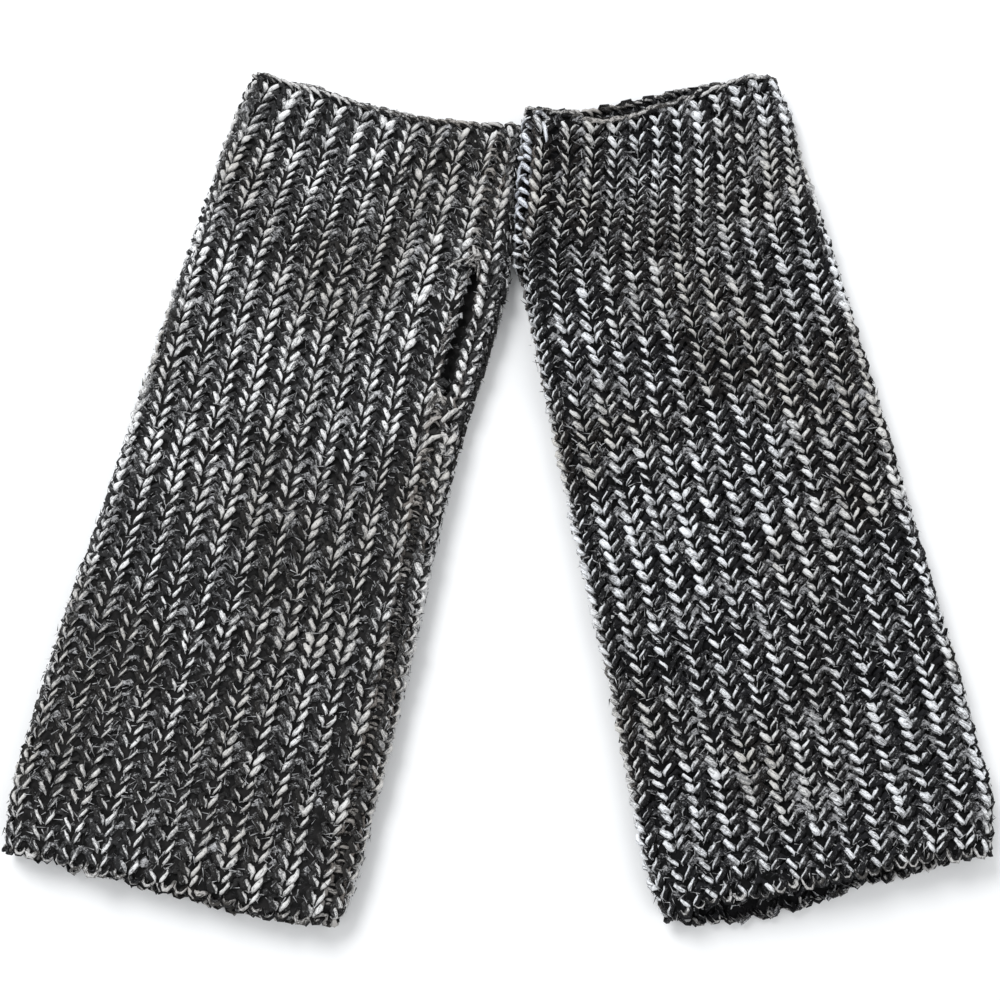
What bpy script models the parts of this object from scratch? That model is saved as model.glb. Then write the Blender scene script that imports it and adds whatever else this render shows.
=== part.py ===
"""A pair of fingerless arm warmers, hand-knitted in chunky 1 x 1 rib and laid flat side by side.

Each arm warmer is one knitted panel, wider at the forearm than at the hand. It is wrapped round
into a tube and sewn up along the thumb side, and the seam is left open for the thumb. A cast-on
edge finishes the forearm end and a bound-off edge finishes the hand end. Both ends are open.

All sizes are in millimetres, and the meshes are made in metres. In an arm warmer's own frame,
x runs across the tube, y runs along it from the forearm to the hand, and z is up.
"""

import math

import bmesh
import bpy
import numpy as np

MM = 0.001

# The cloth
LENGTH = 258.0  # forearm edge to hand edge
CLOTH = 4.2  # wall of chunky 1 x 1 rib
LAYER_GAP = 1.0  # between the two layers where they lie on each other
RIBS = 25  # knit ribs round the tube
GROOVE = 0.9  # depth of the furrow between two ribs
CREST_START = 0.24  # where a rib's flat crest starts and ends, as a share of the rib
CREST_END = 0.76

# The folded sides
FOLD_HEIGHT = 10.8  # over the fold, a little higher than the two layers
FOLD_REACH = 5.4  # from the fold's centre line to its outermost point
FOLD_EASE = 16.0  # width over which the fold's extra height dies away

# The edges, the seam and the thumb opening
HAND_EDGE = 3.4  # length of the bound-off edge
FOREARM_EDGE = 3.2  # length of the cast-on edge
EDGE_CHAMFER = 0.9  # taken off an edge's end, inside and outside
JOIN_GAP = 0.3  # between pieces that are sewn or knitted together
SEAM_WIDTH = 3.4
SEAM_RIDGE = 0.5  # height of the seam's ridge over the cloth
THUMB_START = 159.0  # distance of the thumb opening from the forearm edge
THUMB_END = 208.0
THUMB_SPREAD = 1.1  # how far each side of the opening stands back in its middle
THUMB_BLUNTNESS = 0.5  # the power that makes the opening's ends round: 1 would make them pointed
LIP_REACH = 26.0  # how far from the opening its raised upper lip is felt

# The mouths
MOUTH_DEPTH = 34.0  # how far into the tube the upper layer's rise is felt
MOUTH_ARCH = 3  # power of the upper layer's arch across the mouth: higher is squarer
HAND_REACH = 70.0  # lengths over which the edges' curves even out
FOREARM_REACH = 60.0

# How finely the shapes are drawn
SECTION_STEPS = 100  # points on each flat run and each turn of a finely drawn section
SHARP_ANGLE = 40.0  # degrees, past which two faces meet in a crisp line
FOREARM_STATIONS = (0.0, 0.05, 0.11, 0.19, 0.32, 0.5, 0.68, 0.85)  # shares of a stretch's length
THUMB_STATIONS = (0.0, 0.08, 0.25, 0.5, 0.75, 0.92)
HAND_STATIONS = (0.0, 0.27, 0.47, 0.65, 0.82, 1.0)

# Half-widths of the flattened tube, and where the seam runs: its distance round the cloth from
# the thumb side's outermost point, positive on the upper layer.
SECTION_COLUMNS = ("along", "thumb_side", "plain_side", "seam")
LEFT_SECTIONS = (
    (0.0, 50.6, 52.2, 7.0),
    (12.0, 52.3, 54.8, 8.0),
    (40.0, 52.5, 55.3, 8.0),
    (80.0, 52.6, 54.5, 8.5),
    (110.0, 51.7, 52.4, 9.5),
    (150.0, 51.7, 51.2, 12.0),
    (180.0, 53.5, 49.9, 14.5),
    (205.0, 54.4, 48.4, 15.5),
    (230.0, 50.6, 47.5, 13.0),
    (250.0, 46.9, 45.8, 10.0),
    (258.0, 45.4, 44.2, 9.0),
)
RIGHT_SECTIONS = (
    (0.0, 50.0, 50.0, -2.0),
    (12.0, 51.9, 53.6, -2.0),
    (40.0, 52.1, 53.6, -2.0),
    (80.0, 52.7, 52.0, -2.0),
    (110.0, 53.6, 50.2, -2.0),
    (150.0, 54.4, 48.0, -2.0),
    (180.0, 56.0, 45.9, -1.0),
    (205.0, 55.4, 44.1, 0.5),
    (230.0, 50.3, 41.8, 4.0),
    (250.0, 45.6, 41.0, 5.0),
    (258.0, 43.6, 39.0, 5.0),
)

# How far each edge stands beyond its nominal place, across the width: -1 is the plain side and
# 1 the thumb side.
MOUTH_COLUMNS = ("across", "hand_upper", "hand_lower", "forearm_upper", "forearm_lower")
LEFT_MOUTHS = (
    (-1.0, -2.0, -2.0, 0.5, 0.5),
    (-0.6, -4.2, 0.5, 0.8, -0.8),
    (-0.2, -6.3, -1.6, 1.0, -1.2),
    (0.2, -6.6, -1.8, 1.2, -1.4),
    (0.6, -4.4, -0.6, 0.8, -1.0),
    (1.0, 0.5, 0.5, 2.8, 2.8),
)
RIGHT_MOUTHS = (
    (-1.0, -4.0, -4.0, 2.2, 2.2),
    (-0.7, -3.4, 0.2, 3.6, 1.4),
    (-0.35, -5.8, 0.6, 3.8, 0.2),
    (0.1, -9.2, -0.6, 3.6, -2.6),
    (0.4, -9.8, -1.0, 3.5, -3.8),
    (0.7, -5.0, 0.0, 3.6, -3.2),
    (1.0, 1.5, 1.5, 1.0, 1.0),
)

WARMERS = (
    {
        "name": "left",
        "thumb_sign": 1.0,  # the thumb side is at +x
        "place": (-97.15, -124.68),  # middle of the forearm edge
        "lean": -13.5,  # degrees, from +Y
        "hand_rise": 4.8,  # how far the upper layer stands up in the middle of each mouth
        "forearm_rise": 4.6,
        "lip_rise": 0.0,  # how far the thumb opening's upper lip stands off the lower one
        "sections": LEFT_SECTIONS,
        "mouths": LEFT_MOUTHS,
        "upper_ease": 0.03,  # how much wider than the average the upper layer's ribs are
    },
    {
        "name": "right",
        "thumb_sign": -1.0,
        "place": (97.5, -124.88),
        "lean": 10.4,
        "hand_rise": 6.2,
        "forearm_rise": 5.6,
        "lip_rise": 2.8,
        "sections": RIGHT_SECTIONS,
        "mouths": RIGHT_MOUTHS,
        "upper_ease": -0.03,
    },
)

YARN_COLOURS = {
    "panel": (0.075, 0.075, 0.08, 1.0),
    "hand_edge": (0.11, 0.11, 0.115, 1.0),
    "forearm_edge": (0.085, 0.08, 0.08, 1.0),
    "hand_seam": (0.16, 0.16, 0.17, 1.0),
    "forearm_seam": (0.09, 0.09, 0.095, 1.0),
}
YARN_ROUGHNESS = 0.92


def smooth(share):
    """0 to 1 with no slope at either end."""
    share = np.clip(share, 0.0, 1.0)
    return share * share * (3.0 - 2.0 * share)


def read_table(rows, columns, name, at):
    """The named column at these places, on a smooth curve through the table's rows."""
    table = np.array(rows)
    places = table[:, 0]
    values = table[:, columns.index(name)]
    slopes = np.gradient(values, places)
    at = np.clip(np.asarray(at, float), places[0], places[-1])
    row = np.clip(np.searchsorted(places, at) - 1, 0, len(places) - 2)
    step = places[row + 1] - places[row]
    t = (at - places[row]) / step
    start = (2 * t**3 - 3 * t**2 + 1) * values[row] + (t**3 - 2 * t**2 + t) * step * slopes[row]
    end = (3 * t**2 - 2 * t**3) * values[row + 1] + (t**3 - t**2) * step * slopes[row + 1]
    return start + end


def clear_scene():
    for obj in list(bpy.data.objects):
        bpy.data.objects.remove(obj, do_unlink=True)


def seam_place(warmer, along):
    return float(read_table(warmer["sections"], SECTION_COLUMNS, "seam", along))


def thumb_share(along):
    """How open the thumb opening is here, from 0 at its ends to 1 in its middle."""
    share = (along - THUMB_START) / (THUMB_END - THUMB_START)
    return math.sin(math.pi * share) ** THUMB_BLUNTNESS if 0.0 < share < 1.0 else 0.0


def section(warmer, along):
    """The tube's finely drawn section at this distance along it.

    It starts at the thumb side's outermost point and goes over the upper layer, round the plain
    side, and back under the lower layer. Returns the distance round the outer surface, the outer
    and inner points (x, z), where each point stands across the width, and its share of the upper
    layer.
    """
    thumb = float(read_table(warmer["sections"], SECTION_COLUMNS, "thumb_side", along))
    plain = float(read_table(warmer["sections"], SECTION_COLUMNS, "plain_side", along))
    half = FOLD_HEIGHT / 2
    thumb_centre = thumb - FOLD_REACH
    plain_centre = FOLD_REACH - plain
    up = math.pi / 2
    down = 3 * math.pi / 2
    # Each leg's first and last angle round a fold, and the centre lines it goes between.
    legs = (
        (0.0, up, thumb_centre, thumb_centre),
        (up, up, thumb_centre, plain_centre),
        (up, down, plain_centre, plain_centre),
        (down, down, plain_centre, thumb_centre),
        (down, 2 * math.pi, thumb_centre, thumb_centre),
    )
    angles = np.concatenate([np.linspace(leg[0], leg[1], SECTION_STEPS) for leg in legs])
    centres = np.concatenate([np.linspace(leg[2], leg[3], SECTION_STEPS) for leg in legs])

    def surface(inset):
        x = centres + (FOLD_REACH - inset) * np.cos(angles)
        z = half + (half - inset) * np.sin(angles)
        return x, z

    outer_x, outer_z = surface(0.0)
    inner_x, inner_z = surface(CLOTH)
    upper_share = (1.0 + np.sin(angles)) / 2
    middle = (thumb - plain) / 2
    across = np.clip((outer_x - middle) / ((thumb + plain) / 2), -1.0, 1.0)
    on_run = smooth(np.minimum(thumb_centre - centres, centres - plain_centre) / FOLD_EASE)
    sink = (FOLD_HEIGHT - 2 * CLOTH - LAYER_GAP) * on_run
    hand = warmer["hand_rise"] * (1 - smooth((LENGTH - along) / MOUTH_DEPTH))
    forearm = warmer["forearm_rise"] * (1 - smooth(along / MOUTH_DEPTH))
    arch = (hand + forearm) * (1 - np.abs(across) ** MOUTH_ARCH)
    lift = (arch - sink) * (upper_share > 0.5) * upper_share
    steps = np.hypot(np.diff(outer_x), np.diff(outer_z + lift))
    round_it = np.concatenate(([0.0], np.cumsum(steps)))
    from_seam = round_it - seam_place(warmer, along)
    lip = warmer["lip_rise"] * thumb_share(along) * np.exp(-((from_seam / LIP_REACH) ** 2))
    lift += lip * (from_seam > 0.0)
    outer = np.stack((outer_x, outer_z + lift), -1)
    inner = np.stack((inner_x, inner_z + lift), -1)
    return round_it, outer, inner, across, upper_share


def edge_shift(warmer, along, across, upper_share):
    """How far the mouths' curved edges move a point along the tube."""

    def shift(end):
        upper = read_table(warmer["mouths"], MOUTH_COLUMNS, end + "_upper", across)
        lower = read_table(warmer["mouths"], MOUTH_COLUMNS, end + "_lower", across)
        return lower + (upper - lower) * upper_share

    hand = shift("hand") * (1 - smooth((LENGTH - along) / HAND_REACH))
    forearm = shift("forearm") * (1 - smooth(along / FOREARM_REACH))
    return hand + forearm


def ring_points(warmer, along, places, depths):
    """Points on the tube at these distances round it from its thumb side, this deep in the cloth."""
    round_it, outer, inner, across, upper_share = section(warmer, along)
    whole = round_it[-1]
    places = np.mod(places, whole)
    shares = np.asarray(depths, float) / CLOTH

    def at(values):
        return np.interp(places, round_it, values)

    x = at(outer[:, 0]) * (1 - shares) + at(inner[:, 0]) * shares
    z = at(outer[:, 1]) * (1 - shares) + at(inner[:, 1]) * shares
    y = along + edge_shift(warmer, along, at(across), at(upper_share))
    return np.stack((x * warmer["thumb_sign"], y, z), -1) * MM


def panel_span(warmer, along):
    """Where the panel starts and ends round the tube, on either side of the seam."""
    whole = section(warmer, along)[0][-1]
    clear = SEAM_WIDTH / 2 + JOIN_GAP + THUMB_SPREAD * thumb_share(along)
    start = seam_place(warmer, along) + clear
    return start, start + whole - 2 * clear


def rib_places(warmer, start, end, shares):
    """Distances round the tube of these rib numbers, counted over the upper layer first."""
    turn = np.asarray(shares, float) / RIBS
    ease = warmer["upper_ease"] * (1 - np.cos(2 * math.pi * turn)) / 4
    return start + (end - start) * (turn + ease)


def stretch(start, end, shares):
    return [start + (end - start) * share for share in shares]


def stations():
    """Distances along the tube of the panel's sections: below, beside and above the thumb opening."""
    forearm = stretch(FOREARM_EDGE + JOIN_GAP, THUMB_START, FOREARM_STATIONS)
    thumb = stretch(THUMB_START, THUMB_END, THUMB_STATIONS)
    hand = stretch(THUMB_END, LENGTH - HAND_EDGE - JOIN_GAP, HAND_STATIONS)
    return forearm + thumb + hand


def new_object(name, mesh_data, colour, parent, collection):
    mesh = bpy.data.meshes.new(name)
    mesh_data.to_mesh(mesh)
    mesh_data.free()
    mesh.shade_smooth()
    mesh.set_sharp_from_angle(angle=math.radians(SHARP_ANGLE))
    material = bpy.data.materials.new(name)
    material.use_nodes = True
    shader = material.node_tree.nodes["Principled BSDF"]
    shader.inputs["Base Color"].default_value = colour
    shader.inputs["Roughness"].default_value = YARN_ROUGHNESS
    shader.inputs["Metallic"].default_value = 0.0
    mesh.materials.append(material)
    obj = bpy.data.objects.new(name, mesh)
    obj.parent = parent
    collection.objects.link(obj)
    return obj


def finish_mesh(shell):
    bmesh.ops.recalc_face_normals(shell, faces=shell.faces)
    bmesh.ops.triangulate(shell, faces=shell.faces)


def add_rows(shell, rows):
    return [[shell.verts.new(point) for point in row] for row in rows]


def rib_shares():
    """Rib numbers of the furrows and the crests' ends, all round the panel."""
    shares = []
    for rib in range(RIBS):
        shares += [rib, rib + CREST_START, rib + CREST_END]
    return shares + [RIBS]


def rib_depths(shares):
    return [GROOVE if float(share).is_integer() else 0.0 for share in shares]


def make_panel(warmer):
    """The knitted panel, wrapped round into a tube with its two sides just clear of the seam."""
    shares = rib_shares()
    shell = bmesh.new()
    outer_rows = []
    inner_rows = []
    for along in stations():
        first, last = panel_span(warmer, along)
        outer = ring_points(warmer, along, rib_places(warmer, first, last, shares), rib_depths(shares))
        furrows = rib_places(warmer, first, last, range(RIBS + 1))
        outer_rows.append(outer)
        inner_rows.append(ring_points(warmer, along, furrows, CLOTH))
    outer = add_rows(shell, outer_rows)
    inner = add_rows(shell, inner_rows)
    for i in range(len(outer) - 1):
        for j in range(len(shares) - 1):
            shell.faces.new((outer[i][j], outer[i][j + 1], outer[i + 1][j + 1], outer[i + 1][j]))
        for k in range(RIBS):
            shell.faces.new((inner[i][k], inner[i + 1][k], inner[i + 1][k + 1], inner[i][k + 1]))
        for side in (0, -1):
            shell.faces.new((outer[i][side], outer[i + 1][side], inner[i + 1][side], inner[i][side]))
    for i in (0, -1):
        for k in range(RIBS):
            rim = outer[i][3 * k : 3 * k + 4]
            shell.faces.new((*rim, inner[i][k + 1], inner[i][k]))
    finish_mesh(shell)
    return shell


def make_edge(warmer, near, far):
    """A closed ring that continues the ribs from the panel, with its far end chamfered."""
    first, last = panel_span(warmer, near)
    whole = section(warmer, near)[0][-1]
    shares = rib_shares()
    shell = bmesh.new()
    outer_rows = []
    inner_rows = []
    for along, chamfer in ((near, 0.0), (far, EDGE_CHAMFER)):
        round_it = section(warmer, along)[0][-1] / whole
        places = rib_places(warmer, first, last, shares) * round_it
        furrows = rib_places(warmer, first, last, range(RIBS + 1)) * round_it
        depths = np.array(rib_depths(shares)) + chamfer
        outer_rows.append(ring_points(warmer, along, places, depths))
        inner_rows.append(ring_points(warmer, along, furrows, CLOTH - chamfer))
    outer = add_rows(shell, outer_rows)
    inner = add_rows(shell, inner_rows)
    count = len(shares)
    for j in range(count):
        after = (j + 1) % count
        shell.faces.new((outer[0][j], outer[0][after], outer[1][after], outer[1][j]))
    for k in range(RIBS + 1):
        after = (k + 1) % (RIBS + 1)
        shell.faces.new((inner[0][k], inner[1][k], inner[1][after], inner[0][after]))
    for i in (0, 1):
        for k in range(RIBS):
            rim = outer[i][3 * k : 3 * k + 4]
            shell.faces.new((*rim, inner[i][k + 1], inner[i][k]))
        shell.faces.new((outer[i][-1], outer[i][0], inner[i][0], inner[i][-1]))
    finish_mesh(shell)
    return shell


def make_seam(warmer, start, end):
    """A sewn seam: a strip as thick as the cloth with a low ridge, between the panel's sides."""
    shell = bmesh.new()
    rows = []
    for along in [place for place in stations() if start <= place <= end]:
        seam = seam_place(warmer, along)
        half = SEAM_WIDTH / 2
        places = seam + np.array((-half, -half / 2, half / 2, half, half, -half))
        depths = (GROOVE, -SEAM_RIDGE, -SEAM_RIDGE, GROOVE, CLOTH, CLOTH)
        rows.append(ring_points(warmer, along, places, depths))
    rings = add_rows(shell, rows)
    for i in range(len(rings) - 1):
        for j in range(6):
            after = (j + 1) % 6
            shell.faces.new((rings[i][j], rings[i][after], rings[i + 1][after], rings[i + 1][j]))
    shell.faces.new(rings[0])
    shell.faces.new(rings[-1])
    finish_mesh(shell)
    return shell


def make_warmer(warmer, collection):
    frame = bpy.data.objects.new(warmer["name"] + "_arm_warmer", None)
    frame.location = (warmer["place"][0] * MM, warmer["place"][1] * MM, 0.0)
    frame.rotation_euler = (0.0, 0.0, math.radians(warmer["lean"]))
    collection.objects.link(frame)
    panel_start = FOREARM_EDGE + JOIN_GAP
    panel_end = LENGTH - HAND_EDGE - JOIN_GAP
    pieces = {
        "panel": make_panel(warmer),
        "hand_edge": make_edge(warmer, panel_end + JOIN_GAP, LENGTH),
        "forearm_edge": make_edge(warmer, panel_start - JOIN_GAP, 0.0),
        "hand_seam": make_seam(warmer, THUMB_END, panel_end),
        "forearm_seam": make_seam(warmer, panel_start, THUMB_START),
    }
    for part, mesh_data in pieces.items():
        name = warmer["name"] + "_" + part
        new_object(name, mesh_data, YARN_COLOURS[part], frame, collection)


def main():
    clear_scene()
    collection = bpy.data.collections.new("arm_warmers")
    bpy.context.scene.collection.children.link(collection)
    for warmer in WARMERS:
        make_warmer(warmer, collection)


main()
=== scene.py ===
"""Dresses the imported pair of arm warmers: the marled yarn of every stitch, the edges and the seams.

Each arm warmer is a tube of 1 x 1 rib. A course of yarn runs round it row by row, through a knit
stitch on each rib's crest and a purl stitch in each furrow. The yarn has two plies, one charcoal
and one off-white, and each ply is its own tube that turns about the yarn's middle.

Sizes are in millimetres and are turned into metres where a mesh is made; the lights, the camera and
the flat size of the cloth are in metres. A place on the cloth is a row number (up from the forearm),
a rib number (round from the seam) and a depth in the cloth.
"""

import math
from types import SimpleNamespace

import bpy
import numpy as np
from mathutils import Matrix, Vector


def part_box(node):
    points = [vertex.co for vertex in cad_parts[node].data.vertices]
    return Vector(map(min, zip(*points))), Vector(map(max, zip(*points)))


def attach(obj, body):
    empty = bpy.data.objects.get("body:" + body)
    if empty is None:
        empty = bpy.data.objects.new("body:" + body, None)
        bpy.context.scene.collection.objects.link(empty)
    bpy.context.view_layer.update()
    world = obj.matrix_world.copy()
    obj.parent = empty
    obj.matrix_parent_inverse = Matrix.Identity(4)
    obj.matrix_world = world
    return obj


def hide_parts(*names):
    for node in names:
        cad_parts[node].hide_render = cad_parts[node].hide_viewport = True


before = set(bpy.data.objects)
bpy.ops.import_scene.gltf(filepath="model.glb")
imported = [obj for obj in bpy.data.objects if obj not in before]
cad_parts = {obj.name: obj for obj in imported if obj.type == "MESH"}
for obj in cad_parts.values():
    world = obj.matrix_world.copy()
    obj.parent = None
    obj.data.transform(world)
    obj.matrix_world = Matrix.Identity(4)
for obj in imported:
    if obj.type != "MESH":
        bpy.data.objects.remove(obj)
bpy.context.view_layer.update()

MM = 0.001

# ---- the cloth's driving sizes

LENGTH = 258
CLOTH = 4.2
LAYER_GAP = 1
RIBS = 25
FOLD_HEIGHT = 10.8
FOLD_REACH = 5.4
FOLD_EASE = 16
HAND_EDGE = 3.4
FOREARM_EDGE = 3.2
JOIN_GAP = 0.3
SEAM_WIDTH = 3.4
THUMB_START = 159
THUMB_END = 208
THUMB_SPREAD = 1.1
THUMB_BLUNTNESS = 0.5
LIP_REACH = 26
MOUTH_DEPTH = 34
MOUTH_ARCH = 3  # the power that the arch falls off by
HAND_REACH = 70
FOREARM_REACH = 60
SECTION_STEPS = 100

SECTION_COLUMNS = ("along", "thumb_side", "plain_side", "seam")
LEFT_SECTIONS = (
    (0, 50.6, 52.2, 7),
    (12, 52.3, 54.8, 8),
    (40, 52.5, 55.3, 8),
    (80, 52.6, 54.5, 8.5),
    (110, 51.7, 52.4, 9.5),
    (150, 51.7, 51.2, 12),
    (180, 53.5, 49.9, 14.5),
    (205, 54.4, 48.4, 15.5),
    (230, 50.6, 47.5, 13),
    (250, 46.9, 45.8, 10),
    (258, 45.4, 44.2, 9),
)
RIGHT_SECTIONS = (
    (0, 50, 50, -2),
    (12, 51.9, 53.6, -2),
    (40, 52.1, 53.6, -2),
    (80, 52.7, 52, -2),
    (110, 53.6, 50.2, -2),
    (150, 54.4, 48, -2),
    (180, 56, 45.9, -1),
    (205, 55.4, 44.1, 0.5),
    (230, 50.3, 41.8, 4),
    (250, 45.6, 41, 5),
    (258, 43.6, 39, 5),
)
MOUTH_COLUMNS = ("across", "hand_upper", "hand_lower", "forearm_upper", "forearm_lower")
LEFT_MOUTHS = (
    (-1, -2, -2, 0.5, 0.5),
    (-0.6, -4.2, 0.5, 0.8, -0.8),
    (-0.2, -6.3, -1.6, 1, -1.2),
    (0.2, -6.6, -1.8, 1.2, -1.4),
    (0.6, -4.4, -0.6, 0.8, -1),
    (1, 0.5, 0.5, 2.8, 2.8),
)
RIGHT_MOUTHS = (
    (-1, -4, -4, 2.2, 2.2),
    (-0.7, -3.4, 0.2, 3.6, 1.4),
    (-0.35, -5.8, 0.6, 3.8, 0.2),
    (0.1, -9.2, -0.6, 3.6, -2.6),
    (0.4, -9.8, -1, 3.5, -3.8),
    (0.7, -5, 0, 3.6, -3.2),
    (1, 1.5, 1.5, 1, 1),
)

# ---- the yarn's sizes

ROWS = 66  # between the two edges
KNIT_LENGTH = LENGTH - HAND_EDGE - FOREARM_EDGE - 2 * JOIN_GAP
ROW = KNIT_LENGTH / ROWS
HAND_TIGHTENING = 0.018  # the rows get closer towards the hand
HAND_TIGHTENING_POWER = 6
PLY_RADIUS = 0.92
PLY_OFFSET = 0.68  # of a ply's middle from the yarn's middle
FINE_SIDES = (5, 4)  # of the off-white ply's tube and the charcoal one's
PLAIN_SIDES = (4, 3)
PATTERN_UNIT = 10  # millimetres of yarn in one unit of the wool's pattern
TURN_IN_RIB = 720  # degrees
ROW_OFFSET = 0.25  # rows that a course lies above its row number

# The path of the yarn through one rib. Across is a share of the rib, up is in rows, and turn is the
# off-white ply's, in degrees from outward.
STITCH_COLUMNS = (
    "across", "up", "depth", "dark_thick", "left_light", "left_turn", "right_light", "right_turn"
)
PURL_POINTS = 3  # a stitch's first points, which lie in the furrow
FINE_STITCH = (
    (-0.68, 0.58, 2.45, 0.95, 0.66, -265, 0.66, -265),  # the purl stitch's head
    (-0.5, 0.8, 1.55, 1.08, 0.84, -230, 0.84, -240),
    (-0.32, 0.58, 2.45, 0.95, 0.66, -190, 0.66, -210),
    (-0.3, -0.2, 3.2, 0.85, 0.35, -110, 0.35, -130),
    (-0.05, -0.36, 2.8, 0.9, 0.34, -40, 0.36, -46),  # the knit stitch's first leg
    (-0.1, -0.08, 1.74, 0.98, 0.7, 24, 0.9, -10),
    (-0.205, 0.15, 1.4, 1, 0.8, 34, 1.08, 0),
    (-0.312, 0.38, 1.7, 0.98, 0.68, 44, 0.86, 10),
    (-0.285, 0.74, 2.95, 0.9, 0.32, 88, 0.32, 38),
    (0, 0.98, 3.45, 0.85, 0.35, 130, 0.35, 58),  # its head
    (0.285, 0.74, 2.95, 0.9, 0.3, 198, 0.3, 70),
    (0.312, 0.38, 1.7, 0.98, 0.68, 266, 0.46, 78),
    (0.205, 0.15, 1.4, 1, 0.82, 278, 0.58, 84),
    (0.1, -0.08, 1.74, 0.98, 0.74, 290, 0.5, 92),
    (0.05, -0.36, 2.8, 0.9, 0.32, 310, 0.32, 140),
    (0.3, -0.2, 3.2, 0.85, 0.35, 375, 0.35, 300),
)
PLAIN_STITCH = (
    (-0.5, 0.8, 1.7, 1.02, 0.75, -230, 0.75, -240),
    (-0.34, 0, 3.1, 0.9, 0.45, -120, 0.45, -150),
    (-0.08, -0.34, 2.9, 0.9, 0.4, -30, 0.4, -50),
    (-0.14, 0, 1.6, 1, 0.92, 26, 1, -8),
    (-0.29, 0.4, 1.65, 1, 0.86, 46, 0.95, 10),
    (-0.14, 0.9, 3.2, 0.85, 0.35, 110, 0.35, 50),
    (0.14, 0.9, 3.2, 0.85, 0.35, 155, 0.35, 64),
    (0.29, 0.4, 1.65, 1, 0.72, 230, 0.54, 78),
    (0.14, 0, 1.6, 1, 0.76, 250, 0.54, 86),
    (0.08, -0.34, 2.9, 0.9, 0.4, 305, 0.4, 140),
    (0.34, 0, 3.1, 0.9, 0.45, 380, 0.45, 300),
)
SLIT_LOW = 42  # the rows where the thumb slit's ends are fastened
SLIT_HIGH = 53
BANDS = ((0, 22), (22, 44), (44, ROWS))  # rows that one piece holds
COURSE_PARTS = (  # stitch, sides, first and last rib, and the stitch before
    (FINE_STITCH, FINE_SIDES, 0, 12, None),  # the upper layer
    (PLAIN_STITCH, PLAIN_SIDES, 13, 23, FINE_STITCH),
    (FINE_STITCH, FINE_SIDES, 24, 24, PLAIN_STITCH),
)

# One link of the bound-off chain: links along the edge, millimetres below its top, depth, thickness
# and turn. The front leg faces out.
LINKS = 60
CHAIN_TOP = 0.4
CHAIN_HEIGHT = 0.62  # of the link, against the table
CHAIN_LINK = (
    (-0.32, 2.6, 2.6, 0.62, -60),
    (-0.1, 2, 1.4, 0.8, -30),
    (0.22, 1.5, 0.85, 0.95, -10),
    (0.62, 1.15, 0.8, 0.98, 10),
    (1, 0.9, 1.15, 0.86, 30),
    (1.26, 1.2, 2.1, 0.7, 60),
    (0.92, 1, 3, 0.84, 120),
    (0.58, 1.15, 3.4, 0.92, 160),
    (0.22, 1.6, 3.3, 0.92, 195),
    (-0.1, 2.2, 2.8, 0.8, 230),
    (-0.32, 3, 1.9, 0.66, 270),
)

# One loop of the cast-on edge: loops along the edge, rows up, depth, thickness and turn. Its back
# runs on to the next loop.
WRAPS = 2 * RIBS
CAST_ON_MIDDLE = -0.5  # the row that the loops grow and shrink about
CAST_ON_WRAP = (
    (0, -0.22, 2.6, 0.46, -90),
    (0.04, -0.52, 1.5, 0.58, -40),
    (0.22, -0.76, 1, 0.68, -10),
    (0.48, -0.8, 1, 0.68, 10),
    (0.7, -0.58, 1.4, 0.6, 40),
    (0.76, -0.24, 2.4, 0.46, 90),
    (0.66, -0.44, 3.3, 0.55, 150),
    (0.52, -0.72, 3.4, 0.62, 180),
    (0.7, -0.8, 3.2, 0.62, 200),
    (0.92, -0.56, 3.2, 0.55, 240),
)

# A sewn stitch: millimetres from the seam's middle, rows up, depth, thickness and turn. Curls start
# from the two sides in turn. A bow lies on one side, beside a knot.
SEAM_CURL = (
    (-2.1, -0.22, 3, 0.42, -60),
    (-1.5, -0.1, 1.8, 0.58, -30),
    (-0.2, 0.1, 1.3, 0.66, 0),
    (1, 0.12, 1.5, 0.64, 20),
    (1.8, -0.1, 2.2, 0.56, 40),
    (2, -0.32, 3.1, 0.42, 70),
)
SEAM_BOW = (
    (-0.9, 0.62, 2.8, 0.45, -40),
    (-1.4, 0.4, 1.3, 0.66, -20),
    (-2.3, 0.02, 0.9, 0.76, 0),
    (-3, -0.36, 1.2, 0.66, 10),
    (-3.2, -0.6, 2.8, 0.45, 30),
)
SEAM_KNOT = (
    (-1.1, 0.1, 2.8, 0.5, -50),
    (-0.6, 0.14, 1.1, 0.88, -20),
    (0.4, 0, 0.7, 1.02, 0),
    (1.3, -0.2, 1.1, 0.88, 15),
    (1.7, -0.34, 2.8, 0.5, 50),
)
SEAM_MM_IN_RIB = 8.5
SEAM_LIGHT = 0.86  # how thick the off-white ply is against the charcoal one
SEAM_LOW, SEAM_HIGH = -0.4, ROWS + 0.4

# A seam's name, the rows it runs between, its stitch, stitches in a row, bulge and unevenness.
FOREARM_SEAM = ("forearm_seam_yarn", SEAM_LOW, SLIT_LOW, SEAM_CURL, 1.9, -0.2, 1)
LEFT_HAND_SEAMS = (("hand_seam_yarn", SLIT_HIGH, SEAM_HIGH, SEAM_CURL, 1.7, 0.2, 1),)
RIGHT_HAND_SEAMS = (
    ("hand_seam_yarn", SLIT_HIGH - 0.5, SEAM_HIGH, SEAM_BOW, 1, 1.5, 0.55),
    ("hand_seam_knots_yarn", SLIT_HIGH - 0.5, SEAM_HIGH, SEAM_KNOT, 1, 1.5, 0.55),
)

# The loop where a course turns back: ribs in from the panel's end, rows up, depth, thickness and turn.
END_LOOP = (
    (0.3, -0.2, 3, 0.45, -60),
    (0.16, -0.08, 2.1, 0.62, -30),
    (0.05, 0.22, 1.9, 0.7, 0),
    (0.07, 0.52, 2.1, 0.62, 30),
    (0.2, 0.74, 3.1, 0.45, 60),
)

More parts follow.
